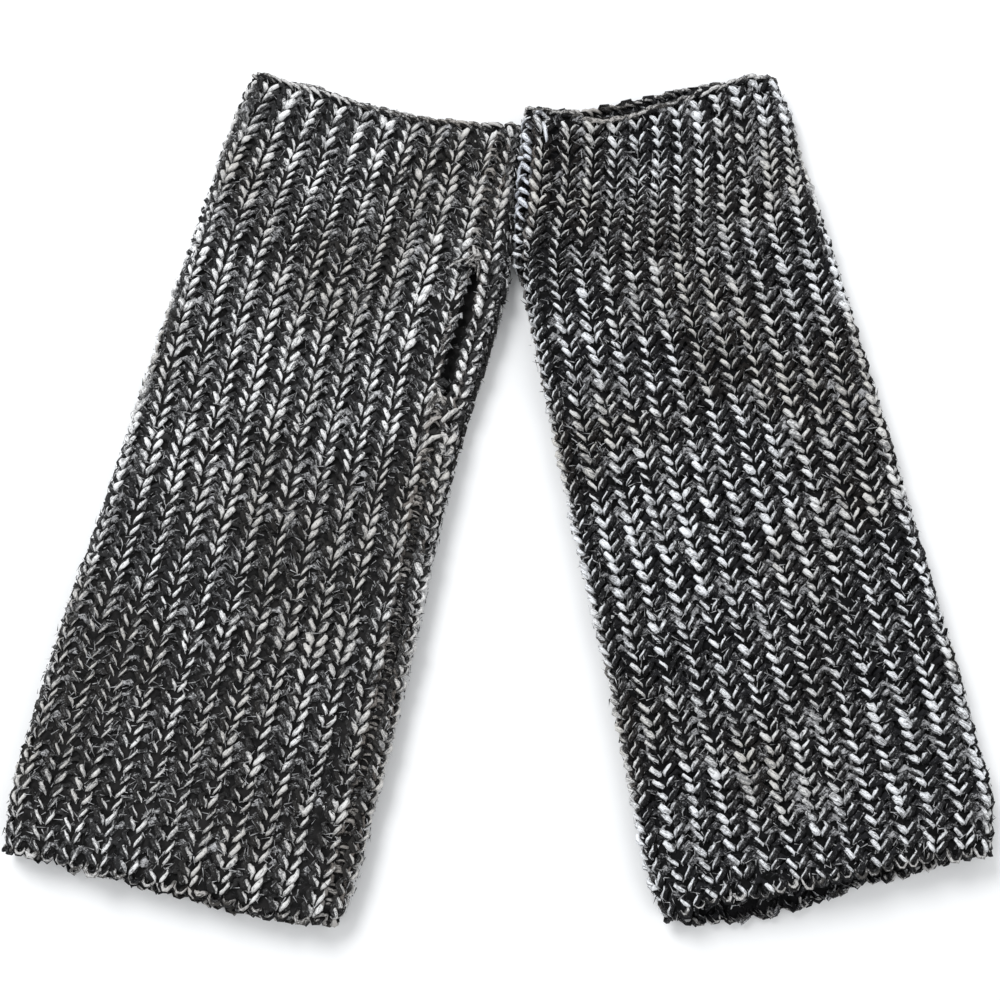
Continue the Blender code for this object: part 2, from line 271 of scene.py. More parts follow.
# A loose strand's arc: share of its length, depth and thickness. A strand: its two ends (millimetres
# from the seam's middle and row), its bow in rows, its thickness, its turn and whether it is grey.
STRAND_TWIST = 60  # degrees that its plies turn along it
STRAND_ARC = ((0, 3, 0.5), (0.18, 1.3, 0.8), (0.5, 0.55, 1), (0.82, 1.2, 0.8), (1, 3, 0.5))
LEFT_STRANDS = (
    (-1.2, 39.4, -5.8, 40.9, 0.15, 0.95, 0, 0),  # the seam's last stitches, below the thumb slit
    (2.4, 40.8, -2.2, 41.2, 0.45, 0.8, 60, 1),
    (1.8, 42.4, -1.6, 41, -0.2, 0.7, 0, 1),
    (3.6, 38.6, -0.8, 40, 0.25, 0.85, 20, 1),
    (4.4, 39.9, 1.2, 42, -0.3, 0.75, 90, 1),
    (2.2, 37.2, -2.4, 38.4, 0.2, 0.9, -20, 0),
    (3.8, 36.2, -0.6, 37.2, 0.1, 0.85, -20, 1),
    (3.2, 53.4, -1.4, 53.6, 0.55, 0.9, 75, 1),  # the fastened end, above the slit
    (2.6, 54.2, -1.8, 54.6, -0.45, 0.85, 100, 1),
    (1.8, 55.2, -0.8, 53.4, 0.35, 0.75, 60, 1),
    (-0.4, 53.8, -2.2, 52.2, 0.35, 0.42, 10, 1),
    (1.4, 53.2, 0.4, 52, -0.45, 0.4, 10, 1),
    (8.2, 52.8, 3.6, 54, 0.05, 0.55, 50, 1),
)
RIGHT_STRANDS = (
    (2.6, 66.1, 7, 65.9, 0.15, 0.8, 0, 0),  # where the hand edge's chain ends
    (5.2, 65.4, 7.2, 63.6, 0.2, 0.8, 0, 0),
)

# Stray wool fibres.
FIBRE_LENGTHS = (0.9, 3.2)
FIBRE_WIDTHS = (0.2, 0.4)
FIBRE_DEPTHS = (0.5, 2)
FIBRE_OUTWARD = 0.28  # the most that one leans out
WALE_STEP = 0.2  # rows up and down that give the way the ribs run
WALE_DEPTH = 1.5

SEEDS = dict(
    rib_rows=0, hand_chain=1, cast_on=2, fuzz=5, end_loops=6, loose_strands=7,
    hand_seam_yarn=90, forearm_seam_yarn=120, hand_seam_knots_yarn=150,
)

# How uneven the hand's work is. For the stitches: what varies, the rows and ribs that a soft change
# takes (None where each stitch differs on its own), the amount, and its least and most, if any.
STITCH_UNEVEN = (
    ("sideways", (6, 3), 0.06),  # ribs
    ("up", (5, 4), 0.14),  # rows
    ("turn_drift", (3.5, 3), 1),
    ("turn", None, 18),
    ("width_drift", (3, 1), 0.1),
    ("width", None, 0.07),
    ("thick", None, 0.1, -0.18, 0.18),
    ("light", None, 0.18, -0.4, 0.25),
    ("light_drift", (2.5, 5), 0.27),
    ("tilt", None, 0.16),
    ("lift", None, 0.18, -0.2, 0.35),
    ("slack", None, 0.06),
)
PLY_LUMPS = (0.13, 0.09)  # of the off-white ply and the charcoal one, from point to point
YARN_OFFSETS = (0, 50)  # where along the wool's pattern a yarn starts

# For the other pieces, how much each loop differs on its own, and the soft drifts over some loops.
CHAIN_DRIFT = 5
CHAIN_DRIFTS = (0.25, 0.25, 80)  # along, below and turn
CHAIN_UNEVEN = dict(reach=0.12, below=0.16, turn=50, thick=0.16)
CAST_ON_DRIFT = 4
CAST_ON_DRIFTS = (0.2, 0.08, 90)  # along, up and turn
CAST_ON_UNEVEN = dict(along=0.12, tall=0.2, up=0.05, turn=95, thick=0.16, depth=0.25, light=0.45)
CAST_ON_LIGHTS = (0.25, 1.5)  # the thinnest and thickest that the off-white ply gets
SEAM_UNEVEN = dict(
    reach=0.18, across=0.35, lean=0.6, up=0.12, depth=0.2, turn=75, thick=0.22, light=0.14
)
END_UNEVEN = dict(size=0.15, rib=0.02, up=0.08, depth=0.15, turn=70, thick=0.12)

# ---- the two arm warmers

# A patch of lighter or darker stitches: its row and rib, how far it reaches in both, and its gain.
LEFT = SimpleNamespace(
    name="left", seed=11, thumb_sign=1, place=(-97.15, -124.68), lean=-13.5,
    hand_rise=4.8, forearm_rise=4.6, lip_rise=0, sections=LEFT_SECTIONS, mouths=LEFT_MOUTHS,
    upper_ease=0.03, fold_bulge=(1.5, 0.3), turn_noise=62, leg_spreads=(0.56, 0.8),
    beside_seam=(-0.12, 0.28), seam_shift=1, chain_size=0.62, cast_on_light=0.98,
    first_rows_loss=0.06, hand_light=1.07, forearm_light=0.86,
    patches=((14, 9.2, 10, 3.4, -0.26), (7, 1.8, 11, 2.4, 0.18)),
    furrow_sink=0.55,  # how much deeper the purl heads lie in the forearm
    cut=(0.216, 0.0533),  # the panel laid flat: its greatest width and its area
    fibres=16500, strands=LEFT_STRANDS, strand_look="light_ply_left",
    hand_seams=LEFT_HAND_SEAMS, hand_seam_look="light_ply_seam",
)
RIGHT = SimpleNamespace(
    name="right", seed=23, thumb_sign=-1, place=(97.5, -124.88), lean=10.4,
    hand_rise=6.2, forearm_rise=5.6, lip_rise=2.8, sections=RIGHT_SECTIONS, mouths=RIGHT_MOUTHS,
    upper_ease=-0.03, fold_bulge=(1.3, 1.5), turn_noise=52, leg_spreads=(1, 1),
    beside_seam=(-0.11, 0), seam_shift=0, chain_size=0.74, cast_on_light=0.7,
    first_rows_loss=0.24, hand_light=0.95, forearm_light=0.95,
    patches=(
        (59.5, 3, 6, 2.6, -0.3), (52, 1.4, 3.5, 1.6, -0.22),
        (19.5, 9, 2.5, 3, -0.26), (37, 6, 2, 3.5, -0.18),
    ),
    furrow_sink=0, cut=(0.214, 0.0522),
    # its seam and strands take the off-white ply of painted bluish light
    fibres=11000, strands=RIGHT_STRANDS, strand_look="light_ply_bluish_lit",
    hand_seams=RIGHT_HAND_SEAMS, hand_seam_look="light_ply_bluish_lit",
)

# A span is the row or rib where a change starts and the one where it ends.
FOLD_SPAN = (28, 48)  # from the forearm's bulge at the fold to the hand's
FOLD_RIBS = 1.2  # how far from the seam the bulge reaches
HAND_LIGHT_SPAN = (46, 58)
FOREARM_LIGHT_SPAN = (30, 14)
FURROW_SPAN = (34, 18)
EDGE_ROWS = 6  # rows near each edge that stretch towards it, by so many rows:
LAST_ROWS_REACH = 0.45
FIRST_ROWS_REACH = 0.38
FIRST_ROWS = 2.2  # rows above the cast-on edge where the off-white ply is thinner
LOOSE_ROWS = 1.5  # rows near an edge that are looser
LOOSENESS = 1.5
PURL_BULGE = 0.1  # how much of the bulge at the fold the purl heads follow
SEAM_BULGE = 0.35  # and the seam
BASE_BULGE = 0.8  # and the near-black sheet of painted shade between the loops

SLIT_FADE = 1.5  # rows on both sides of its ends over which the thumb slit closes
SLIT_OPENING = 0.14  # ribs that it pushes the first and last rib apart
SLIT_OPENING_SPAN = (43, 49)  # for the last rib
SLIT_TURN = 60
ROLL_REACH = -0.32  # from here to its middle, the first rib rolls into the slit
ROLL_DEPTH = 1.2
ROLL_THINNING = 0.45
TUCKED_ACROSS = -0.4  # its purl heads are tucked behind
TUCKED_DEPTH = 3.3
TUCKED_LOOP_DEPTH = 2.8

BASE_DEPTH = 2.5  # of the near-black sheet in the middle of the cloth, painted shade in the gaps between the loops
BASE_POINTS = (45, 101)  # along the rows and along the ribs
BASE_PAST_EDGE = 0.5  # rows
BASE_PAST_END = 0.05  # ribs, beside the slit
BASE_UNDER_SEAM = 0.2  # and so much more under the seam
INSIDE_REACH = 1.5  # how much deeper it lies under the thumb slit, where its painted shade covers the lower layer's yarn
UNDER_SLIT_SPANS = ((18, 20), (24, 23))

FLOOR_PRESS = 0.5  # millimetres above the floor where the yarn starts to lie flat
LEG_MIDDLE = 0.2  # of a knit stitch's leg, as a share of the rib across
LEG_REACH = 0.12

# ---- the cloth's form


def smooth(share):
    """0 to 1 with no slope at either end."""
    share = np.clip(share, 0, 1)
    return share * share * (3 - 2 * share)


def through(span, at):
    """0 at the span's start and before it, 1 at its end and past it, and smooth between."""
    start, end = span
    return smooth((at - start) / (end - start))


def read_table(rows, columns, name, at):
    """The named column at these places, on a smooth curve through the table's rows."""
    table = np.array(rows)
    places = table[:, 0]
    values = table[:, columns.index(name)]
    slopes = np.gradient(values, places)
    at = np.clip(np.asarray(at, float), places[0], places[-1])
    row = np.clip(np.searchsorted(places, at) - 1, 0, len(places) - 2)
    step = places[row + 1] - places[row]
    t = (at - places[row]) / step
    start = (2 * t**3 - 3 * t**2 + 1) * values[row] + (t**3 - 2 * t**2 + t) * step * slopes[row]
    end = (3 * t**2 - 2 * t**3) * values[row + 1] + (t**3 - t**2) * step * slopes[row + 1]
    return start + end


def section_size(warmer, name, along):
    return float(read_table(warmer.sections, SECTION_COLUMNS, name, along))


def thumb_share(along):
    """How open the thumb opening is here, from 0 at its ends to 1 in its middle."""
    share = (along - THUMB_START) / (THUMB_END - THUMB_START)
    return math.sin(math.pi * share) ** THUMB_BLUNTNESS if 0 < share < 1 else 0


def section(warmer, along):
    """The tube's section here: distance round, outer and inner points, place across, upper share."""
    thumb = section_size(warmer, "thumb_side", along)
    plain = section_size(warmer, "plain_side", along)
    half = FOLD_HEIGHT / 2
    thumb_centre = thumb - FOLD_REACH
    plain_centre = FOLD_REACH - plain
    up, down = math.pi / 2, 3 * math.pi / 2
    turns = (0, up, up, down, down, 2 * math.pi)
    middles = (thumb_centre, thumb_centre, plain_centre, plain_centre, thumb_centre, thumb_centre)
    angles, centres = (
        np.concatenate([np.linspace(*leg, SECTION_STEPS) for leg in zip(ends, ends[1:])])
        for ends in (turns, middles)
    )

    def surface(inset):
        x = centres + (FOLD_REACH - inset) * np.cos(angles)
        return np.stack((x, half + (half - inset) * np.sin(angles)), -1)

    outer, inner = surface(0), surface(CLOTH)
    upper_share = (1 + np.sin(angles)) / 2
    middle = (thumb - plain) / 2
    across = np.clip((outer[:, 0] - middle) / ((thumb + plain) / 2), -1, 1)
    on_run = smooth(np.minimum(thumb_centre - centres, centres - plain_centre) / FOLD_EASE)
    sink = (FOLD_HEIGHT - 2 * CLOTH - LAYER_GAP) * on_run
    hand = warmer.hand_rise * (1 - smooth((LENGTH - along) / MOUTH_DEPTH))
    forearm = warmer.forearm_rise * (1 - smooth(along / MOUTH_DEPTH))
    arch = (hand + forearm) * (1 - np.abs(across) ** MOUTH_ARCH)
    lift = (arch - sink) * (upper_share > 0.5) * upper_share
    steps = np.hypot(np.diff(outer[:, 0]), np.diff(outer[:, 1] + lift))
    round_it = np.concatenate(([0], np.cumsum(steps)))
    from_seam = round_it - section_size(warmer, "seam", along)
    lip = warmer.lip_rise * thumb_share(along) * np.exp(-((from_seam / LIP_REACH) ** 2))
    lift += lip * (from_seam > 0)
    for side in (outer, inner):
        side[:, 1] += lift
    return round_it, outer, inner, across, upper_share


def edge_shift(warmer, along, across, upper_share):
    """How far the mouths' curved edges move a point along the tube."""

    def shift(end):
        upper = read_table(warmer.mouths, MOUTH_COLUMNS, end + "_upper", across)
        lower = read_table(warmer.mouths, MOUTH_COLUMNS, end + "_lower", across)
        return lower + (upper - lower) * upper_share

    hand = shift("hand") * (1 - smooth((LENGTH - along) / HAND_REACH))
    forearm = shift("forearm") * (1 - smooth(along / FOREARM_REACH))
    return hand + forearm


def row_along(row):
    """Where this row number is along the tube."""
    share = row / ROWS
    grown = (1 + HAND_TIGHTENING) * share - HAND_TIGHTENING * share**HAND_TIGHTENING_POWER
    return FOREARM_EDGE + JOIN_GAP + KNIT_LENGTH * grown


def rib_places(warmer, along, ribs):
    """Distances round the tube of these ribs, from the seam over the upper layer."""
    whole = section(warmer, along)[0][-1]
    clear = SEAM_WIDTH / 2 + JOIN_GAP + THUMB_SPREAD * thumb_share(along)
    start = section_size(warmer, "seam", along) + clear
    turn = ribs / RIBS
    ease = warmer.upper_ease * (1 - np.cos(2 * math.pi * turn)) / 4
    return start + (whole - 2 * clear) * (turn + ease)


class Cloth:
    """The laid-out tube of one arm warmer, as a map from row, rib and depth to a place."""

    ROW_LOW, ROW_HIGH, ROW_STEP = -2, ROWS + 2, 0.25
    RIB_LOW, RIB_HIGH, RIB_STEP = -1, RIBS + 1, 0.08

    def __init__(self, warmer):
        rows = np.arange(self.ROW_LOW, self.ROW_HIGH + self.ROW_STEP / 2, self.ROW_STEP)
        ribs = np.arange(self.RIB_LOW, self.RIB_HIGH + self.RIB_STEP / 2, self.RIB_STEP)
        self.surfaces = np.empty((2, len(rows), len(ribs), 3))
        for i, row in enumerate(rows):
            self.surfaces[:, i] = self.ring(warmer, row_along(row), ribs)
        angle = math.radians(warmer.lean)
        cos, sin = math.cos(angle), math.sin(angle)
        turn = np.array(((cos, -sin, 0), (sin, cos, 0), (0, 0, 1)))
        self.surfaces = self.surfaces @ turn.T + (*warmer.place, 0)
        self.fit_to_frame(warmer)

    def ring(self, warmer, along, ribs):
        round_it, outer, inner, across, upper_share = section(warmer, along)
        places = np.mod(rib_places(warmer, along, ribs), round_it[-1])

        def at(values):
            return np.interp(places, round_it, values)

        y = along + edge_shift(warmer, along, at(across), at(upper_share))
        rings = [(at(s[:, 0]) * warmer.thumb_sign, y, at(s[:, 1])) for s in (outer, inner)]
        return np.stack([np.stack(ring, -1) for ring in rings])

    def fit_to_frame(self, warmer):
        """Moves the map so that its panel has the same middle as the CAD panel's box."""
        low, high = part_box(warmer.name + "_panel")
        first = int(-self.ROW_LOW / self.ROW_STEP)
        panel = self.surfaces[0, first : first + int(ROWS / self.ROW_STEP) + 1]
        own = (panel.min((0, 1)) + panel.max((0, 1))) / 2
        middle = np.array((low + high) / 2) / MM
        self.surfaces[..., :2] += (middle - own)[:2]

    def at(self, rows, ribs, depths):
        """Places (mm) and outward directions."""
        rows, ribs, depths = np.broadcast_arrays(rows, ribs, depths)
        i = (rows - self.ROW_LOW) / self.ROW_STEP
        j = (ribs - self.RIB_LOW) / self.RIB_STEP
        i0 = np.clip(i.astype(int), 0, self.surfaces.shape[1] - 2)
        j0 = np.clip(j.astype(int), 0, self.surfaces.shape[2] - 2)
        fi = (i - i0)[..., None]
        fj = (j - j0)[..., None]
        s = self.surfaces
        low = s[:, i0, j0] * (1 - fj) + s[:, i0, j0 + 1] * fj
        high = s[:, i0 + 1, j0] * (1 - fj) + s[:, i0 + 1, j0 + 1] * fj
        outer, inner = low * (1 - fi) + high * fi
        share = (depths / CLOTH)[..., None]
        return outer * (1 - share) + inner * share, unit(outer - inner)


def unit(vectors):
    return vectors / np.maximum(np.linalg.norm(vectors, axis=-1, keepdims=True), 1e-9)


def above_floor(points):
    """Presses what would hang below the floor flat against it."""
    height = points[:, 2]
    pressed = FLOOR_PRESS * np.exp(np.minimum(height / FLOOR_PRESS - 1, 0))
    return np.stack((points[:, 0], points[:, 1], np.where(height < FLOOR_PRESS, pressed, height)), -1)


# ---- irregular hand work


def soft_noise(random, shape, cell):
    """A smooth random field between about -1 and 1 over this many rows and columns."""
    rows = int(math.ceil(shape[0] / cell[0])) + 2
    columns = int(math.ceil(shape[1] / cell[1])) + 2
    knots = random.uniform(-1, 1, (rows, columns))
    i = np.arange(shape[0]) / cell[0]
    j = np.arange(shape[1]) / cell[1]
    i0, j0 = i.astype(int), j.astype(int)
    fi, fj = smooth(i - i0)[:, None], smooth(j - j0)[None, :]
    low = knots[i0][:, j0] * (1 - fj) + knots[i0][:, j0 + 1] * fj
    high = knots[i0 + 1][:, j0] * (1 - fj) + knots[i0 + 1][:, j0 + 1] * fj
    return low * (1 - fi) + high * fi


def new_random(warmer, piece):
    return np.random.default_rng(warmer.seed + SEEDS[piece])


def stitch_unevenness(random):
    """An array of rows and ribs for each line of the table."""
    uneven = {}
    for name, cell, amount, *limits in STITCH_UNEVEN:
        field = soft_noise(random, (ROWS, RIBS), cell) if cell else random.normal(0, 1, (ROWS, RIBS))
        uneven[name] = np.clip(amount * field, *limits) if limits else amount * field
    return uneven


# ---- yarn meshes


def add_object(name, data):
    obj = bpy.data.objects.new(name, data)
    bpy.context.scene.collection.objects.link(obj)
    return obj


def add_mesh(name, points, faces, materials, which):
    """A smooth object from points in mm, faces (all triangles or all quads) and their materials."""
    mesh = bpy.data.meshes.new(name)
    mesh.vertices.add(len(points))
    mesh.vertices.foreach_set("co", points.astype(np.float32).ravel() * MM)
    mesh.loops.add(faces.size)
    mesh.loops.foreach_set("vertex_index", faces.astype(np.int32).ravel())
    mesh.polygons.add(len(faces))
    mesh.polygons.foreach_set("loop_start", np.arange(0, faces.size, faces.shape[1], dtype=np.int32))
    mesh.polygons.foreach_set("material_index", which.astype(np.int32))
    mesh.update(calc_edges=True)
    mesh.shade_smooth()
    for material in materials:
        mesh.materials.append(material)
    return add_object(name, mesh)


class Piece:
    """One piece of yarn: its random numbers, the unevenness of its loops, and its tubes."""

    def __init__(self, warmer, cloth, name, loops=0, unevenness=None, random=None):
        self.name = f"{warmer.name}_{name}"
        self.random = random or new_random(warmer, name)
        self.cloth, self.loops, self.unevenness = cloth, loops, unevenness
        self.points, self.faces, self.uvs, self.materials, self.count = [], [], [], [], 0

    def uneven(self, measure):
        """How each loop differs on its own."""
        return self.random.normal(0, self.unevenness[measure], (self.loops, 1))

    def drifts(self, cell, amounts):
        """Soft changes along an edge, one for each amount."""
        noise = soft_noise(self.random, (self.loops, len(amounts) + 1), (cell, 1))
        return [amount * noise[:, i : i + 1] for i, amount in enumerate(amounts)]

    def offsets(self, yarns):
        """Where along the wool's pattern each yarn starts."""
        return self.random.uniform(*YARN_OFFSETS, (yarns, 1))

    def add_tubes(self, rings, lengths, material):
        """rings are (tubes, points, sides, 3). lengths has a place in the wool's pattern for each point,
        and material has a number for each stretch between two points.
        """
        tubes, points, sides = rings.shape[:3]
        index = np.arange(tubes * points * sides).reshape(tubes, points, sides) + self.count
        after = np.roll(index, -1, axis=2)
        quads = np.stack((index[:, :-1], index[:, 1:], after[:, 1:], after[:, :-1]), -1)
        u0 = np.broadcast_to(np.arange(sides) / sides, (tubes, points - 1, sides))
        u1 = u0 + 1 / sides
        v0, v1 = (np.broadcast_to(v[..., None], u0.shape) for v in (lengths[:, :-1], lengths[:, 1:]))
        uv = np.stack((u0, v0, u0, v1, u1, v1, u1, v0), -1)
        self.points.append(rings.reshape(-1, 3))
        self.faces.append(quads.reshape(-1, 4))
        self.uvs.append(uv.reshape(-1, 2))
        self.materials.append(np.repeat(material.reshape(-1), sides))
        self.count += tubes * points * sides

    def add_yarns(self, rows, ribs, depths, turn, offset, thick, sides=FINE_SIDES, purl=False):
        """Two-ply yarns, one for each line of rows, ribs and depths. turn is in degrees from outward.

        thick is the off-white ply's and the charcoal ply's thickness, and sides their tubes' sides.
        After the points that purl marks, both plies take the third material; in the knit it is painted
        shade, a dark grey for the purl heads in the furrows.
        """
        points, outward = self.cloth.at(rows, ribs, depths)
        tangent = unit(np.gradient(points, axis=1))
        normal = unit(outward - (outward * tangent).sum(-1, keepdims=True) * tangent)
        side = np.cross(tangent, normal)
        steps = np.linalg.norm(np.diff(points, axis=1), axis=-1)
        lengths = np.concatenate((np.zeros((len(points), 1)), np.cumsum(steps, 1)), 1)
        for ply in (0, 1):
            radius = PLY_RADIUS * np.broadcast_to(thick[ply], points.shape[:2])[..., None]
            angle = np.radians(turn + 180 * ply)[..., None]
            away = np.cos(angle) * normal + np.sin(angle) * side
            across = np.cross(tangent, away)
            centre = points + away * PLY_OFFSET * np.minimum(radius / PLY_RADIUS, 1)
            around = 2 * math.pi * np.arange(sides[ply]) / sides[ply] + math.pi  # from the other ply
            rings = (
                centre[:, :, None]
                + radius[:, :, None] * np.cos(around)[:, None] * away[:, :, None]
                + radius[:, :, None] * np.sin(around)[:, None] * across[:, :, None]
            )
            # on the purl heads the third material is painted shade of the furrow
            material = np.where(purl, 2, np.full(points.shape[:2], ply))
            self.add_tubes(rings, lengths / PATTERN_UNIT + offset, material[:, :-1])

    def make(self, materials):
        points = above_floor(np.concatenate(self.points))
        faces = np.concatenate(self.faces)
        obj = add_mesh(self.name, points, faces, materials, np.concatenate(self.materials))
        layer = obj.data.uv_layers.new(name="yarn")
        layer.data.foreach_set("uv", np.concatenate(self.uvs).astype(np.float32).ravel())
        return obj


def spread_legs(warmer, across):
    """Makes the knit stitches' legs lean less or more about their middles."""
    middle = np.sign(across) * LEG_MIDDLE
    in_leg = np.abs(across - middle) < LEG_REACH
    first, second = warmer.leg_spreads
    return np.where(in_leg, middle + (across - middle) * np.where(across < 0, first, second), across)


def course_path(warmer, stitch, first, last, before):
    """The table's columns along one course from the first rib to the last, and the rib numbers.

    It starts from the last point of the stitch before, where the parts join.
    """
    ribs = np.repeat(np.arange(first, last + 1), len(stitch))
    columns = dict(zip(STITCH_COLUMNS, np.tile(np.array(stitch).T, last + 1 - first)))
    columns["purl"] = np.tile(np.arange(len(stitch)) < PURL_POINTS, last + 1 - first)
    if before:
        ribs = np.append(first - 1, ribs)
        joins = dict(zip(STITCH_COLUMNS, before[-1]), purl=False)
        columns = {name: np.append(joins[name], values) for name, values in columns.items()}
    columns["across"] = spread_legs(warmer, columns["across"])
    columns["turn"] = columns[warmer.name + "_turn"] + TURN_IN_RIB * ribs
    columns["light_thick"] = columns[warmer.name + "_light"]
    return ribs, columns


def fold_bulge(warmer, rows, ribs):
    """How far the ribs beside the seam stand out at the fold."""
    forearm, hand = warmer.fold_bulge
    from_seam = np.minimum(ribs, RIBS - ribs)
    bulge = forearm + (hand - forearm) * through(FOLD_SPAN, rows)
    return bulge * np.exp(-((from_seam / FOLD_RIBS) ** 2))


def light_share(warmer, rows, ribs):
    """How thick the off-white ply is here, against its usual thickness."""
    hand = (warmer.hand_light - 1) * through(HAND_LIGHT_SPAN, rows)
    forearm = (warmer.forearm_light - 1) * through(FOREARM_LIGHT_SPAN, rows)
    share = 1 + hand + forearm
    for row, rib, row_reach, rib_reach, gain in warmer.patches:
        away = ((rows - row) / row_reach) ** 2 + ((ribs - rib) / rib_reach) ** 2
        share = share + gain * np.exp(-away)
    return share * (1 - warmer.first_rows_loss * np.exp(-((rows / FIRST_ROWS) ** 2)))


def beside_slit(rows):
    """1 in the rows beside the thumb slit, and 0 past its ends."""
    opens = through((SLIT_LOW - SLIT_FADE, SLIT_LOW + SLIT_FADE), rows)
    return opens * through((SLIT_HIGH + SLIT_FADE, SLIT_HIGH - SLIT_FADE), rows)


def beside_seam(warmer, row, ribs, across):
    """How far the first and last rib stand sideways, and how far a leg is rolled into the slit."""
    first, last = warmer.beside_seam
    near = beside_slit(row)
    opening = SLIT_OPENING * near
    last_opening = opening * through(SLIT_OPENING_SPAN, row)
    sideways = (ribs == 0) * (first - opening) + (ribs == RIBS - 1) * (last - last_opening)
    rolled = near * (ribs == 0) * (across < 0) * (across > ROLL_REACH)
    return sideways, rolled


def stretched(rows):
    """The rows, with those near the edges reaching up to the chain and down to the cast-on edge."""
    rows = rows + LAST_ROWS_REACH * through((ROWS - EDGE_ROWS, ROWS), rows)
    return rows - FIRST_ROWS_REACH * through((EDGE_ROWS, 0), rows)


def add_courses(piece, warmer, uneven, start, end, part):
    """One part of each course, from the row start up to the row end."""
    stitch, sides, first, last, before = part
    row = np.arange(start, end)[:, None]
    ribs, path = course_path(warmer, stitch, first, last, before)
    own = {name: values[start:end, ribs] for name, values in uneven.items()}
    by_slit = (ribs == 0) & path["purl"] & (row > SLIT_LOW) & (row < SLIT_HIGH)
    across = np.where(by_slit, np.maximum(path["across"], TUCKED_ACROSS), path["across"])
    sideways, rolled = beside_seam(warmer, row, ribs, path["across"])
    width = 1 + own["width_drift"] + own["width"]
    yarn_ribs = ribs + 0.5 + across * width + own["sideways"] + sideways
    yarn_rows = row + ROW_OFFSET + path["up"] + own["up"] + own["tilt"] * path["across"] + own["slack"]
    yarn_rows = stretched(yarn_rows)
    bulge = fold_bulge(warmer, yarn_rows, yarn_ribs)
    sunk = warmer.furrow_sink * through(FURROW_SPAN, yarn_rows)
    depths = path["depth"] + own["lift"] + np.where(path["purl"], sunk - PURL_BULGE * bulge, -bulge)
    depths = np.where(by_slit, TUCKED_DEPTH, depths + ROLL_DEPTH * rolled)
    lumps = 1 + piece.random.normal(0, PLY_LUMPS, (*depths.shape, 2))
    thick = 1 + own["thick"]
    light = thick * path["light_thick"] * (1 + own["light"]) * (1 + own["light_drift"])
    light = light * light_share(warmer, yarn_rows, yarn_ribs) * (1 - ROLL_THINNING * rolled)
    thicks = (light * lumps[..., 0], thick * path["dark_thick"] * lumps[..., 1])
    turn = path["turn"] + own["turn"] + SLIT_TURN * beside_slit(row) * (ribs == RIBS - 1)
    offset = piece.offsets(end - start)
    piece.add_yarns(yarn_rows, yarn_ribs, depths, turn, offset, thicks, sides, path["purl"])


def make_knit(warmer, cloth, materials):
    """Every course of the panel, in bands of rows."""
    random = new_random(warmer, "rib_rows")
    uneven = stitch_unevenness(random)
    uneven["turn"] += uneven["turn_drift"] * warmer.turn_noise
    from_edge = np.minimum(np.arange(ROWS), ROWS - 1 - np.arange(ROWS))
    uneven["slack"] *= 1 + LOOSENESS * np.exp(-from_edge / LOOSE_ROWS)[:, None]
    objects = []
    for number, (start, end) in enumerate(BANDS):
        piece = Piece(warmer, cloth, f"rib_rows_{number + 1}", random=random)
        for part in COURSE_PARTS:
            add_courses(piece, warmer, uneven, start, end, part)
        objects.append(piece.make(materials))
    return objects


def make_hand_edge(warmer, cloth, materials):
    """The bound-off chain along the hand edge."""
    piece = Piece(warmer, cloth, "hand_chain", LINKS, CHAIN_UNEVEN)
    along, below, depth, thick, turn = np.array(CHAIN_LINK).T
    drift_along, drift_below, drift_turn = piece.drifts(CHAIN_DRIFT, CHAIN_DRIFTS)
    link = np.arange(LINKS)[:, None]
    ribs = (link + along * (1 + piece.uneven("reach")) + drift_along) / LINKS * RIBS
    below = CHAIN_TOP + CHAIN_HEIGHT * below + drift_below + piece.uneven("below")
    rows = ROWS + (JOIN_GAP + HAND_EDGE - below) / ROW
    turn = turn + drift_turn + piece.uneven("turn")
    thick = thick * (1 + piece.uneven("thick")) * warmer.chain_size
    piece.add_yarns(rows, ribs, depth, turn, piece.offsets(LINKS), (thick, thick))
    return piece.make(materials)


def make_forearm_edge(warmer, cloth, materials):
    """The loops of the cast-on edge, as one winding yarn."""
    piece = Piece(warmer, cloth, "cast_on", WRAPS, CAST_ON_UNEVEN)
    along, up, depth, thick, turn = np.array(CAST_ON_WRAP).T
    drift_along, drift_up, drift_turn = piece.drifts(CAST_ON_DRIFT, CAST_ON_DRIFTS)
    wrap = np.arange(WRAPS)[:, None]
    ribs = (wrap + along + drift_along + piece.uneven("along")) / WRAPS * RIBS
    height = (up - CAST_ON_MIDDLE) * (1 + piece.uneven("tall"))
    rows = CAST_ON_MIDDLE + height + drift_up + piece.uneven("up")
    turn = turn + TURN_IN_RIB / 2 * wrap + drift_turn + piece.uneven("turn")
    thick = thick * (1 + piece.uneven("thick"))
    depths = depth + piece.uneven("depth")
    light = thick * warmer.cast_on_light * np.clip(1 + piece.uneven("light"), *CAST_ON_LIGHTS)
    one_yarn = [values.reshape(1, -1) for values in (rows, ribs, depths, turn)]
    piece.add_yarns(*one_yarn, 0, (light.reshape(1, -1), thick.reshape(1, -1)))
    return piece.make(materials)


def seam_rib(millimetres):
    """The rib number at this distance from the seam's middle."""
    return (millimetres - SEAM_WIDTH / 2 - JOIN_GAP) / SEAM_MM_IN_RIB


